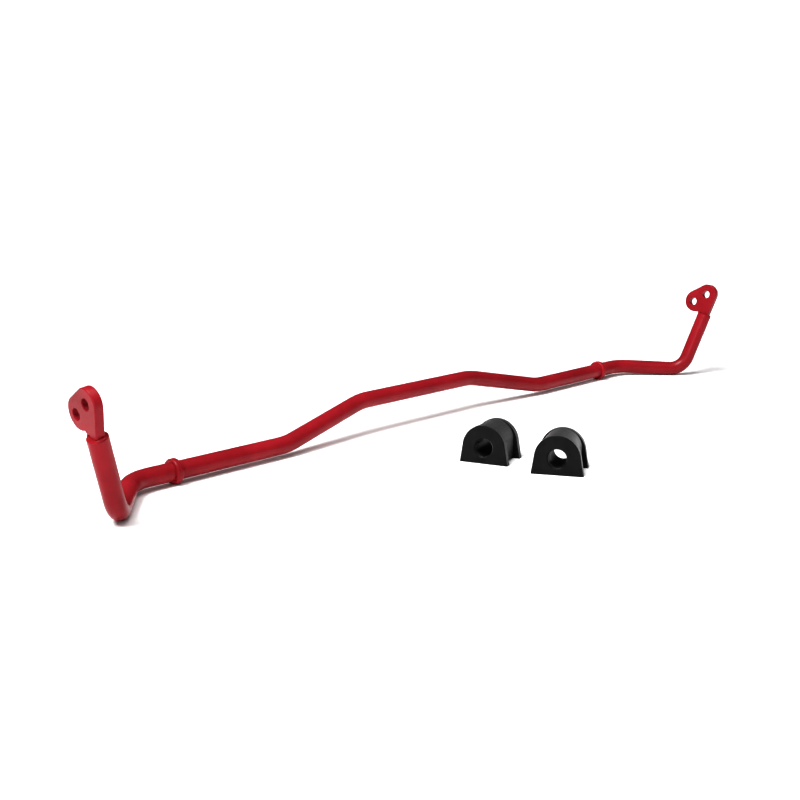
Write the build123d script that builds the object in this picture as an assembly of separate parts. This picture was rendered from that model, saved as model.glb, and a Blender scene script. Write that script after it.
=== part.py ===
from build123d import *
import math
import os

# A tubular sway bar with a raised middle, two stop collars, a two-hole plate welded into each end,
# and its pair of split D-bushings, which stand loose on the floor in front of the bar.
# Millimetres. +X runs along the bar to its right-hand end, +Y is behind the bar, +Z is up.

# Bar. The right half of its centreline; the left half mirrors it.
BAR_D = 22.0
BAR_WALL = 3.0
SEAT_Z = 15.0  # the low straight sections, held off the floor by the collars
CREST = Vector(113.0, 16.0, 44.8)  # corner at the end of the raised middle
DIP = Vector(258.0, 0.0, SEAT_Z)
ELBOW = Vector(486.0, 0.0, SEAT_Z)
FOOT = Vector(557.0, -83.5, 10.055)  # the bend that follows it touches the floor
MOUTH = Vector(588.0, -103.4, 100.4)  # middle of the open end of the tube
CREST_R = 110.0
ELBOW_R = 50.0
FOOT_R = 30.0
RIM_CHAMFER = 0.8

# Stop collars, one at the outer side of each bushing seat.
COLLAR_X = 428.0
COLLAR_D = 2 * SEAT_Z
COLLAR_WIDTH = 9.0
COLLAR_ROUND = 2.6

# End plates: two lobes, one round each hole, on a neck that carries a round shank.
PLATE_THICKNESS = 10.0
PLATE_TILT = 9.0  # degrees that the plate stands more upright than the arm
PLATE_OFFSET = 0.8  # outboard of the arm's axis
PLATE_ROUND = 1.5
HOLE_D = 12.5
HOLE_CHAMFER = 0.6
NEAR_HOLE = (25.5, 16.1)  # across and up the plate, from the middle of the mouth
NEAR_LOBE = (22.4, 18.0)
NEAR_LOBE_R = 17.8
FAR_HOLE = (7.2, 33.6)
FAR_LOBE = (6.4, 34.3)
FAR_LOBE_R = 16.4
NECK_FAR = 7.5  # the neck's edges, across the plate from its axis
NECK_NEAR = 10.2
TONGUE_WIDTH = 10.4
SHOULDER = 1.0  # height of the neck's shoulders above the middle of the mouth
NOTCH = 12.4  # across the plate, where the near lobe runs into the neck
NOTCH_R = 2.5
SHANK_LENGTH = 15.0
FIT_GAP = 0.05  # between the plate and the tube

# Weld metal that closes the mouth of the tube, a little below its rim.
MOUTH_DEPTH = 3.0
WELD_DEPTH = 1.8
TONGUE_FOOT = -MOUTH_DEPTH - 1.5

# D-bushings.
BUSH_LENGTH = 49.5
BUSH_FLANGE = 8.0
BUSH_R = 27.4
BUSH_BORE_Z = 19.7
BUSH_FLANK = 9.0  # degrees that each flank leans in
BARREL_R = 23.0
BARREL_RELIEF = 2.0
BORE_CHAMFER = 1.6
SLIT = 0.4
BUSH_ROUND = 0.9
# Node name, middle of the front face's foot, and the bore's direction in degrees from +X.
BUSHINGS = [
    ("bushing_left", Vector(-125.4, -204.1, 0.0), 16.8),
    ("bushing_right", Vector(-109.3, -300.3, 0.0), 26.5),
]


def bar_centreline():
    right = [CREST, DIP, ELBOW, FOOT, MOUTH]
    left = [Vector(-p.X, p.Y, p.Z) for p in reversed(right)]
    radii = [FOOT_R, ELBOW_R, CREST_R, CREST_R]
    return FilletPolyline(*left, *right, radius=radii + radii[::-1])


def bar_tube():
    """The bent tube, open at both ends, with a chamfered rim."""
    path = bar_centreline()
    start = Plane(origin=path @ 0, z_dir=path % 0)
    wall = Circle(BAR_D / 2) - Circle(BAR_D / 2 - BAR_WALL)
    tube = sweep(start * wall, path=path)
    rims = [e for e in tube.edges().filter_by(GeomType.CIRCLE) if abs(e.radius - BAR_D / 2) < 0.01]
    ends = [e for e in rims if abs(abs(e.arc_center.X) - MOUTH.X) < 0.1]
    return chamfer(ends, RIM_CHAMFER)


def arm_plane():
    """At the right-hand mouth: x across the plate to come, y outboard, z out along the arm."""
    arm = (MOUTH - FOOT).normalized()
    across = arm.cross(Vector(1, 0, 0)).normalized()
    return Plane(origin=MOUTH, x_dir=across, z_dir=arm)


def plate_plane():
    """Middle plane of the right-hand end plate: x across it, y up it, z outboard."""
    arm = arm_plane()
    up = arm.z_dir.rotate(Axis((0, 0, 0), arm.x_dir), -PLATE_TILT)
    outboard = arm.x_dir.cross(up)
    return Plane(origin=MOUTH + PLATE_OFFSET * outboard, x_dir=arm.x_dir, z_dir=outboard)


def heading(way):
    return math.degrees(math.atan2(way.Y, way.X))


def plate_outline():
    """Two lobes on a neck, which has a rounded notch under the near lobe and a tongue below its shoulders."""
    near = Vector(*NEAR_LOBE)
    far = Vector(*FAR_LOBE)
    corner = Vector(-NECK_FAR, SHOULDER)
    across = far - near
    rise = far - corner
    # Directions from a lobe's centre to where its arc begins or ends.
    notch_way = math.degrees(math.acos((near.X - NOTCH) / NEAR_LOBE_R)) - 180
    edge_way = heading(across) - math.degrees(math.acos((NEAR_LOBE_R - FAR_LOBE_R) / across.length))
    neck_way = heading(rise) + math.degrees(math.asin(FAR_LOBE_R / rise.length)) + 90
    near_arc = CenterArc(near, NEAR_LOBE_R, notch_way, edge_way - notch_way)
    far_arc = CenterArc(far, FAR_LOBE_R, edge_way, neck_way - edge_way)
    edge = Line(near_arc @ 1, far_arc @ 0)
    tongue = TONGUE_WIDTH / 2
    neck = Polyline(
        far_arc @ 1,
        corner,
        (-tongue, SHOULDER),
        (-tongue, TONGUE_FOOT),
        (tongue, TONGUE_FOOT),
        (tongue, SHOULDER),
        (NECK_NEAR, SHOULDER),
        near_arc @ 0,
    )
    outline = make_face([near_arc, edge, far_arc, *neck.edges()])
    notch = outline.vertices().sort_by_distance(near_arc @ 0)[0]
    return fillet(notch, NOTCH_R)


def end_plate():
    """The right-hand end plate: lobes above the tube, a tongue in its mouth and a round shank inside it."""
    plane = plate_plane()
    plate = extrude(plane * plate_outline(), PLATE_THICKNESS / 2, both=True)
    places = [(e, plane.to_local_coords(e.center())) for e in plate.edges()]
    rim = [e for e, p in places if abs(abs(p.Z) - PLATE_THICKNESS / 2) < 0.01 and p.Y > TONGUE_FOOT + 0.01]
    plate = fillet(rim, PLATE_ROUND)
    for hole in (NEAR_HOLE, FAR_HOLE):
        plate -= plane * Pos(*hole) * Cylinder(HOLE_D / 2, 2 * PLATE_THICKNESS)
    mouths = [e for e in plate.edges().filter_by(GeomType.CIRCLE) if abs(e.radius - HOLE_D / 2) < 0.01]
    plate = chamfer(mouths, HOLE_CHAMFER)
    shank_r = BAR_D / 2 - BAR_WALL - FIT_GAP
    shank = Cylinder(shank_r, SHANK_LENGTH, align=(Align.CENTER, Align.CENTER, Align.MAX))
    return plate + arm_plane() * Pos(0, 0, -MOUTH_DEPTH) * shank


def end_weld(plate):
    """Ring of weld metal between the tongue and the tube's wall."""
    ring = Cylinder(
        BAR_D / 2 - BAR_WALL,
        MOUTH_DEPTH - WELD_DEPTH,
        align=(Align.CENTER, Align.CENTER, Align.MIN),
    )
    return arm_plane() * Pos(0, 0, -MOUTH_DEPTH) * ring - plate


def stop_collar():
    """The right-hand stop collar."""
    along_bar = Plane(origin=(COLLAR_X, 0, SEAT_Z), z_dir=(1, 0, 0))
    ring = Cylinder(COLLAR_D / 2, COLLAR_WIDTH)
    ring = fillet(ring.edges().filter_by(GeomType.CIRCLE), COLLAR_ROUND)
    return along_bar * (ring - Cylinder(BAR_D / 2, COLLAR_WIDTH))


def flange_outline():
    """Round crown that runs into two leaning flanks and a flat foot."""
    lean = math.radians(BUSH_FLANK)
    touch = Vector(BUSH_R * math.cos(lean), BUSH_BORE_Z + BUSH_R * math.sin(lean))
    foot = BUSH_R / math.cos(lean) + BUSH_BORE_Z * math.tan(lean)
    crown = CenterArc((0, BUSH_BORE_Z), BUSH_R, BUSH_FLANK, 180 - 2 * BUSH_FLANK)
    flanks = Polyline((-touch.X, touch.Y), (-foot, 0), (foot, 0), (touch.X, touch.Y))
    return make_face([crown, *flanks.edges()])


def barrel_outline():
    """The waist that the bracket wraps: level with the crown, upright at the sides."""
    middle = BUSH_BORE_Z + BUSH_R - BARREL_R
    crown = CenterArc((0, middle), BARREL_R, 0, 180)
    sides = Polyline((-BARREL_R, middle), (-BARREL_R, BARREL_RELIEF), (BARREL_R, BARREL_RELIEF), (BARREL_R, middle))
    return make_face([crown, *sides.edges()])


def bushing(foot, direction):
    """A split D-bushing whose bore starts over foot and runs in the given direction."""
    flange = extrude(flange_outline(), BUSH_FLANGE)
    barrel = extrude(barrel_outline(), BUSH_LENGTH)
    body = flange + barrel + Pos(0, 0, BUSH_LENGTH - BUSH_FLANGE) * flange
    faces = [e for e in body.edges() if e.center().Z < 0.01 or e.center().Z > BUSH_LENGTH - 0.01]
    body = fillet(faces, BUSH_ROUND)
    body -= Pos(0, BUSH_BORE_Z, 0) * Cylinder(BAR_D / 2, 3 * BUSH_LENGTH)
    mouths = [e for e in body.edges().filter_by(GeomType.CIRCLE) if abs(e.radius - BAR_D / 2) < 0.01]
    body = chamfer(mouths, BORE_CHAMFER)
    body -= Box(SLIT, BUSH_BORE_Z, 3 * BUSH_LENGTH, align=(Align.CENTER, Align.MIN, Align.CENTER))
    upright = Plane(origin=(0, 0, 0), x_dir=(0, 1, 0), z_dir=(1, 0, 0))
    return Location(foot, (0, 0, direction)) * (upright * body)


def mirrored(shape):
    return mirror(shape, about=Plane.YZ)


def all_parts():
    plate = end_plate()
    weld = end_weld(plate)
    collar = stop_collar()
    parts = {
        "bar_tube": bar_tube(),
        "end_plate_left": mirrored(plate),
        "end_plate_right": plate,
        "end_weld_left": mirrored(weld),
        "end_weld_right": weld,
        "stop_collar_left": mirrored(collar),
        "stop_collar_right": collar,
    }
    for name, foot, direction in BUSHINGS:
        parts[name] = bushing(foot, direction)
    return parts


def main():
    parts = all_parts()
    boxes = [shape.bounding_box() for shape in parts.values()]
    front = min(box.min.Y for box in boxes)
    back = max(box.max.Y for box in boxes)
    origin = Vector(0, (front + back) / 2, min(box.min.Z for box in boxes))
    print("the bottom middle of all the pieces is at", origin)
    os.makedirs("parts", exist_ok=True)
    for name, shape in parts.items():
        export_step(Pos(-origin) * shape, f"parts/{name}.step")


main()
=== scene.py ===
import math

import bmesh
import bpy
import numpy as np
from mathutils import Matrix, Vector


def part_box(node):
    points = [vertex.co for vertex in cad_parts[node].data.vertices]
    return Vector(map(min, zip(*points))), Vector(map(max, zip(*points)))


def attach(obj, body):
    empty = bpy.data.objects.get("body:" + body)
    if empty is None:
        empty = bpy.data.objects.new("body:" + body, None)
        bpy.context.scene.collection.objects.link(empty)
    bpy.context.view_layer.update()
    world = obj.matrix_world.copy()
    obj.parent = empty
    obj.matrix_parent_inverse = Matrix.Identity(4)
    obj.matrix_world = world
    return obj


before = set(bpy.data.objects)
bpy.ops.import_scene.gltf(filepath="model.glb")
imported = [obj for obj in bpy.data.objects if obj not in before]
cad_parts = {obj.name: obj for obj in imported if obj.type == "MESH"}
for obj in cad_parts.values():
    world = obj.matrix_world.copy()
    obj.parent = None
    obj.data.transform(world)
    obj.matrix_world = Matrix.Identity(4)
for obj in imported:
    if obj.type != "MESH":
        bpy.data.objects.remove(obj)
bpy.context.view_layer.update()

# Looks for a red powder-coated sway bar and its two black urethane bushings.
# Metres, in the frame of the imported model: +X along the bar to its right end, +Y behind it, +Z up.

MM = 0.001
OPAQUE = 1.0

# ---------------------------------------------------------------- camera, floor and light

CAMERA_PLACE = Vector((-1.1766, -0.9006, 0.3585))
CAMERA_HEADING = 43.083  # degrees from +X towards +Y
CAMERA_DIP = -11.727  # degrees above the horizon
CAMERA_ROLL = -0.277  # degrees
LENS = 52.04  # millimetres, like the sensor
SENSOR = 36.0
NEAR_CLIP = 0.01
FAR_CLIP = 200

FLOOR_REACH = 60  # from the middle to each side
FLOOR_WHITE = 0.92
FLOOR_GAP = 0.0001  # the floor lies this far below the feet, so that the faces don't flicker

BACKDROP = 1.0  # shade of the world as the camera sees it
FILL = 0.27  # shade of the world as it lights the matt surfaces
SURROUNDINGS = 0.07  # shade of the world as the gloss mirrors it

# A sun has a strength, a width in degrees, and the way that its light travels.
OVERHEAD_POWER = 3.0
OVERHEAD_WIDTH = 28
OVERHEAD_WAY = Vector((0.57, -0.02, -1.0))
SIDE_POWER = 0.36
SIDE_WIDTH = 7
SIDE_WAY = Vector((3.20, 1.50, -1.0))
PANEL_POWER = 4.5  # watts
PANEL_SIZE = 0.8
PANEL_PLACE = Vector((-0.45, -0.10, 1.0))


def add_camera():
    """Aims the camera by heading, dip and roll, and makes it the scene's."""
    heading = math.radians(CAMERA_HEADING)
    dip = math.radians(CAMERA_DIP)
    roll = math.radians(CAMERA_ROLL)
    look = Vector((math.cos(dip) * math.cos(heading), math.cos(dip) * math.sin(heading), math.sin(dip)))
    level = Vector((math.sin(heading), -math.cos(heading), 0))
    up = level.cross(look)
    right = math.cos(roll) * level + math.sin(roll) * up
    data = bpy.data.cameras.new("camera")
    data.lens = LENS
    data.sensor_width = SENSOR
    data.clip_start = NEAR_CLIP
    data.clip_end = FAR_CLIP
    camera = bpy.data.objects.new("camera", data)
    turn = Matrix((right, right.cross(look), -look)).transposed()
    camera.matrix_world = Matrix.Translation(CAMERA_PLACE) @ turn.to_4x4()
    bpy.context.scene.collection.objects.link(camera)
    bpy.context.scene.camera = camera


def add_floor():
    """A white sheet that reaches the horizon."""
    mesh = bpy.data.meshes.new("floor")
    signs = ((-1, -1), (1, -1), (1, 1), (-1, 1))
    mesh.from_pydata([(FLOOR_REACH * x, FLOOR_REACH * y, 0) for x, y in signs], [], [(0, 1, 2, 3)])
    floor = bpy.data.objects.new("floor", mesh)
    floor.location.z = -FLOOR_GAP
    bpy.context.scene.collection.objects.link(floor)
    material, shader, _ = new_material("floor_paper")
    shader.inputs["Base Color"].default_value = (FLOOR_WHITE, FLOOR_WHITE, FLOOR_WHITE, OPAQUE)
    shader.inputs["Roughness"].default_value = 0.7
    shader.inputs["Specular IOR Level"].default_value = 0.2
    mesh.materials.append(material)


def add_world():
    """A white backdrop, an even fill for the shading, and dim surroundings for the gloss to mirror."""
    world = bpy.data.worlds.new("studio")
    bpy.context.scene.world = world
    world.use_nodes = True
    tree = world.node_tree
    tree.nodes.clear()
    rays = tree.nodes.new("ShaderNodeLightPath")
    shader = None
    for shade, ray in ((FILL, None), (SURROUNDINGS, "Is Glossy Ray"), (BACKDROP, "Is Camera Ray")):
        background = tree.nodes.new("ShaderNodeBackground")
        background.inputs["Color"].default_value = (shade, shade, shade, OPAQUE)
        if shader is None:
            shader = background
            continue
        mix = tree.nodes.new("ShaderNodeMixShader")
        tree.links.new(rays.outputs[ray], mix.inputs[0])
        tree.links.new(shader.outputs[0], mix.inputs[1])
        tree.links.new(background.outputs[0], mix.inputs[2])
        shader = mix
    out = tree.nodes.new("ShaderNodeOutputWorld")
    tree.links.new(shader.outputs[0], out.inputs[0])


def add_sun(name, power, width, way):
    """A large soft lamp, very far away."""
    data = bpy.data.lights.new(name, "SUN")
    data.energy = power
    data.angle = math.radians(width)
    lamp = bpy.data.objects.new(name, data)
    lamp.rotation_mode = "QUATERNION"
    lamp.rotation_quaternion = way.to_track_quat("-Z", "Y")
    bpy.context.scene.collection.objects.link(lamp)


def add_panel(name, power, size, place):
    """A square panel that shines straight down and lights the floor nearest to it most."""
    data = bpy.data.lights.new(name, "AREA")
    data.energy = power
    data.size = size
    lamp = bpy.data.objects.new(name, data)
    lamp.location = place
    bpy.context.scene.collection.objects.link(lamp)


# ---------------------------------------------------------------- materials


class Nodes:
    """Short calls for the shader nodes that the materials share."""

    def __init__(self, tree):
        self.tree = tree

    def add(self, kind, **settings):
        """A new node of one kind, with its settings."""
        node = self.tree.nodes.new(kind)
        for name, value in settings.items():
            setattr(node, name, value)
        return node

    def link(self, source, target):
        self.tree.links.new(source, target)

    def place(self):
        """Each point's place on its own object."""
        return self.add("ShaderNodeTexCoord").outputs["Object"]

    def noise(self, scale, detail=2.0, roughness=0.5):
        """Soft random clouds, scale of them to the metre, about 0.5 on average."""
        node = self.add("ShaderNodeTexNoise")
        node.inputs["Scale"].default_value = scale
        node.inputs["Detail"].default_value = detail
        node.inputs["Roughness"].default_value = roughness
        self.link(self.place(), node.inputs["Vector"])
        return node.outputs["Fac"]

    def cells(self, scale):
        """Distance to the nearest of many scattered specks, in cells."""
        node = self.add("ShaderNodeTexVoronoi")
        node.inputs["Scale"].default_value = scale
        self.link(self.place(), node.inputs["Vector"])
        return node.outputs["Distance"]

    def span(self, value, low, high, to_low=0.0, to_high=1.0):
        """Stretches low..high to to_low..to_high, and holds it there."""
        node = self.add("ShaderNodeMapRange", clamp=True)
        node.inputs["From Min"].default_value = low
        node.inputs["From Max"].default_value = high
        node.inputs["To Min"].default_value = to_low
        node.inputs["To Max"].default_value = to_high
        self.link(value, node.inputs["Value"])
        return node.outputs["Result"]

    def blend(self, factor, one, other):
        """A colour between one and other, each a colour or a socket."""
        node = self.add("ShaderNodeMix", data_type="RGBA")
        self.link(factor, node.inputs[0])
        for socket, colour in ((node.inputs[6], one), (node.inputs[7], other)):
            if isinstance(colour, tuple):
                socket.default_value = (*colour, OPAQUE)
            else:
                self.link(colour, socket)
        return node.outputs[2]

    def sum(self, one, other):
        return self.reckon("ADD", one, other)

    def product(self, one, other):
        return self.reckon("MULTIPLY", one, other)

    def reckon(self, operation, one, other):
        """Adds or multiplies two values, each a number or a socket."""
        node = self.add("ShaderNodeMath", operation=operation)
        for socket, value in ((node.inputs[0], one), (node.inputs[1], other)):
            if isinstance(value, (int, float)):
                socket.default_value = value
            else:
                self.link(value, socket)
        return node.outputs[0]

    def edges(self, radius):
        """1 along a sharp or tightly rounded edge, 0 on flats."""
        soft = self.add("ShaderNodeBevel", samples=6)
        soft.inputs["Radius"].default_value = radius
        plain = self.add("ShaderNodeNewGeometry")
        dot = self.add("ShaderNodeVectorMath", operation="DOT_PRODUCT")
        self.link(soft.outputs[0], dot.inputs[0])
        self.link(plain.outputs["Normal"], dot.inputs[1])
        return self.span(dot.outputs["Value"], 0.985, 0.8)

    def openness(self, distance):
        """Ambient occlusion, the shade from nearby surfaces: 1 in the open, 0 deep inside a bore."""
        node = self.add("ShaderNodeAmbientOcclusion", samples=8)
        node.inputs["Distance"].default_value = distance
        return node.outputs["AO"]

    def bump(self, height, distance, strength=1.0, after=None):
        """A relief from a height map, on top of an earlier one if there is one."""
        node = self.add("ShaderNodeBump")
        node.inputs["Strength"].default_value = strength
        node.inputs["Distance"].default_value = distance
        self.link(height, node.inputs["Height"])
        if after is not None:
            self.link(after, node.inputs["Normal"])
        return node.outputs["Normal"]


def new_material(name):
    material = bpy.data.materials.new(name)
    material.use_nodes = True
    shader = material.node_tree.nodes["Principled BSDF"]
    return material, shader, Nodes(material.node_tree)


def powder_coat(name, red, ripple=1.0):
    """Gloss powder coat: deep red, with orange peel, fine nibs and a thinner, lighter film on edges."""
    material, shader, nodes = new_material(name)
    deep = tuple(0.72 * channel for channel in red)
    thin = (1.35 * red[0], 2.6 * red[1], 2.2 * red[2])
    clouds = nodes.span(nodes.noise(scale=14.0, detail=4.0, roughness=0.6), 0.35, 0.65)
    flecks = nodes.span(nodes.cells(scale=1500.0), 0.1, 0.28, to_low=0.35, to_high=0.0)
    film = nodes.blend(flecks, nodes.blend(clouds, deep, red), deep)
    patches = nodes.span(nodes.noise(scale=220.0, detail=3.0), 0.42, 0.62)
    worn = nodes.product(nodes.edges(radius=1.2 * MM), patches)
    nodes.link(nodes.blend(nodes.product(worn, 0.55), film, thin), shader.inputs["Base Color"])
    haze = nodes.noise(scale=35.0, detail=5.0, roughness=0.65)
    smears = nodes.span(haze, 0.3, 0.7, to_low=0.27, to_high=0.40)
    nodes.link(nodes.sum(smears, nodes.product(worn, 0.12)), shader.inputs["Roughness"])
    peel = nodes.bump(nodes.noise(scale=420.0), distance=0.22 * MM * ripple, strength=0.5)
    grain = nodes.bump(nodes.noise(scale=2600.0), distance=0.04 * MM * ripple, strength=0.5, after=peel)
    nodes.link(grain, shader.inputs["Normal"])
    shader.inputs["Specular IOR Level"].default_value = 0.17
    return material


def urethane(name):
    """Moulded black urethane: satin, fine-grained, with dusty edges and a pale sheen outside its bore,
    turned down inside it as painted shade.
    """
    material, shader, nodes = new_material(name)
    flow = nodes.span(nodes.noise(scale=60.0, detail=4.0, roughness=0.6), 0.35, 0.65)
    black = nodes.blend(flow, (0.0050, 0.0050, 0.0054), (0.0085, 0.0085, 0.0090))
    patches = nodes.span(nodes.noise(scale=500.0, detail=3.0), 0.4, 0.65)
    edge_dust = nodes.product(nodes.product(nodes.edges(radius=1.0 * MM), patches), 0.5)
    specks = nodes.span(nodes.cells(scale=700.0), 0.05, 0.12, to_low=0.12, to_high=0.0)
    dust = nodes.sum(edge_dust, specks)
    nodes.link(nodes.blend(dust, black, (0.05, 0.048, 0.047)), shader.inputs["Base Color"])
    haze = nodes.noise(scale=90.0, detail=5.0, roughness=0.6)
    nodes.link(nodes.span(haze, 0.3, 0.7, to_low=0.42, to_high=0.58), shader.inputs["Roughness"])
    swell = nodes.bump(nodes.noise(scale=150.0), distance=0.3 * MM, strength=0.35)
    pores = nodes.noise(scale=2300.0, detail=3.0)
    grain = nodes.bump(pores, distance=0.05 * MM, strength=0.6, after=swell)
    nodes.link(grain, shader.inputs["Normal"])
    shader.inputs["Specular IOR Level"].default_value = 0.12
    # Painted shade: the sheen's weight follows ambient occlusion, so it is low deep in the bore and full
    # in the open
    sheen_dimmed_by_painted_shade = nodes.span(nodes.openness(distance=30 * MM), 0.45, 0.85, to_low=0.02, to_high=0.33)
    nodes.link(sheen_dimmed_by_painted_shade, shader.inputs["Sheen Weight"])
    shader.inputs["Sheen Roughness"].default_value = 0.40
    return material


def give(node, material):
    """Puts one material in every slot of a CAD node's object."""
    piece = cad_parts[node]
    for slot in piece.material_slots:
        slot.material = material
    if not piece.material_slots:
        piece.data.materials.append(material)


# ---------------------------------------------------------------- welds

BEAD_RADIUS = 1.55 * MM
NECK_NEAR = 10.3 * MM  # how far the bead reaches across the plate, past each edge of its neck
NECK_FAR = -9.0 * MM
FACE_REACH = 6.5 * MM  # to each side of the plate's middle
MOUTH_HEIGHT = -1.2 * MM  # of the bead beside the plate's faces, from the rim
RIM_HEIGHT = 0.7 * MM  # of the bead at the neck's edges
WELD_HEIGHT = -2.4 * MM  # of the middle of the plain weld in the mouth
ROUNDNESS = 0.7  # 1 for a round ring, 0 for a square one
BEAD_STEPS = 200
BEAD_SIDES = 14
BEAD_FLATNESS = 0.8  # its height as a share of its width
RIPPLES = 26
RIPPLE_DEPTH = 0.09  # of the bead's radius
UNEVENNESS = 0.05  # of the radius too, in a slower swell


def weld_axes(node, side):
    """The middle of the tube's rim, and the ways across the plate, outboard, and out along the arm."""
    points = np.array([v.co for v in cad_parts[node].data.vertices])
    low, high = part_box(node)
    middle = (low + high) / 2
    arm = Vector(np.linalg.svd(points - np.array(middle))[2][2])
    if arm.z < 0:
        arm = -arm
    across = arm.cross(Vector((1, 0, 0))).normalized()
    outboard = side * across.cross(arm)
    return middle - WELD_HEIGHT * arm, across, outboard, arm


def squared(value):
    """Pushes a cosine or sine outwards, so that a ring becomes a rounded rectangle."""
    return math.copysign(abs(value) ** ROUNDNESS, value)


def bead_place(angle):
    """Across the plate, outboard and out along the arm, for the bead's middle line."""
    half = (NECK_NEAR - NECK_FAR) / 2
    across = (NECK_NEAR + NECK_FAR) / 2 + half * squared(math.cos(angle))
    outboard = FACE_REACH * squared(math.sin(angle))
    height = MOUTH_HEIGHT + (RIM_HEIGHT - MOUTH_HEIGHT) * math.cos(angle) ** 2
    return across, outboard, height


def add_weld(node, side, material):
    """A rippled bead round the plate's neck, low beside its faces and up on the rim at its edges."""
    middle, across, outboard, arm = weld_axes(node, side)
    build = bmesh.new()
    rings = []
    for step in range(BEAD_STEPS):
        angle = 2 * math.pi * step / BEAD_STEPS
        u, v, w = bead_place(angle)
        centre = middle + u * across + v * outboard + w * arm
        spoke = (u * across + v * outboard).normalized()
        swell = UNEVENNESS * math.sin(3 * angle + 1)
        radius = BEAD_RADIUS * (1 + RIPPLE_DEPTH * abs(math.sin(RIPPLES * angle / 2)) + swell)
        ring = []
        for turn in range(BEAD_SIDES):
            swing = 2 * math.pi * turn / BEAD_SIDES
            offset = math.cos(swing) * spoke + BEAD_FLATNESS * math.sin(swing) * arm
            ring.append(build.verts.new(centre + radius * offset))
        rings.append(ring)
    for step in range(BEAD_STEPS):
        here = rings[step]
        there = rings[(step + 1) % BEAD_STEPS]
        for turn in range(BEAD_SIDES):
            after = (turn + 1) % BEAD_SIDES
            build.faces.new((here[turn], there[turn], there[after], here[after]))
    bmesh.ops.recalc_face_normals(build, faces=build.faces)
    mesh = bpy.data.meshes.new(node + "_bead")
    build.to_mesh(mesh)
    build.free()
    for face in mesh.polygons:
        face.use_smooth = True
    mesh.materials.append(material)
    bead = bpy.data.objects.new(node + "_bead", mesh)
    bpy.context.scene.collection.objects.link(bead)
    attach(bead, "bar")
    give(node, material)


# ---------------------------------------------------------------- the scene

BAR_RED = (0.295, 0.0155, 0.0240)
WELD_RED = (0.275, 0.0145, 0.0220)
COATED = ("bar_tube", "end_plate_left", "end_plate_right", "stop_collar_left", "stop_collar_right")
MOULDED = ("bushing_left", "bushing_right")

add_camera()
add_floor()
add_world()
add_sun("overhead_softbox", OVERHEAD_POWER, OVERHEAD_WIDTH, OVERHEAD_WAY)
add_sun("side_light", SIDE_POWER, SIDE_WIDTH, SIDE_WAY)
add_panel("near_panel", PANEL_POWER, PANEL_SIZE, PANEL_PLACE)
bpy.context.scene.view_settings.view_transform = "Standard"
bpy.context.scene.view_settings.look = "High Contrast"

bar_finish = powder_coat("red_powder_coat", BAR_RED)
weld_finish = powder_coat("red_coated_weld", WELD_RED, ripple=2.0)
bushing_finish = urethane("black_urethane")
for name in COATED:
    give(name, bar_finish)
for name in MOULDED:
    give(name, bushing_finish)
add_weld("end_weld_left", -1, weld_finish)
add_weld("end_weld_right", 1, weld_finish)
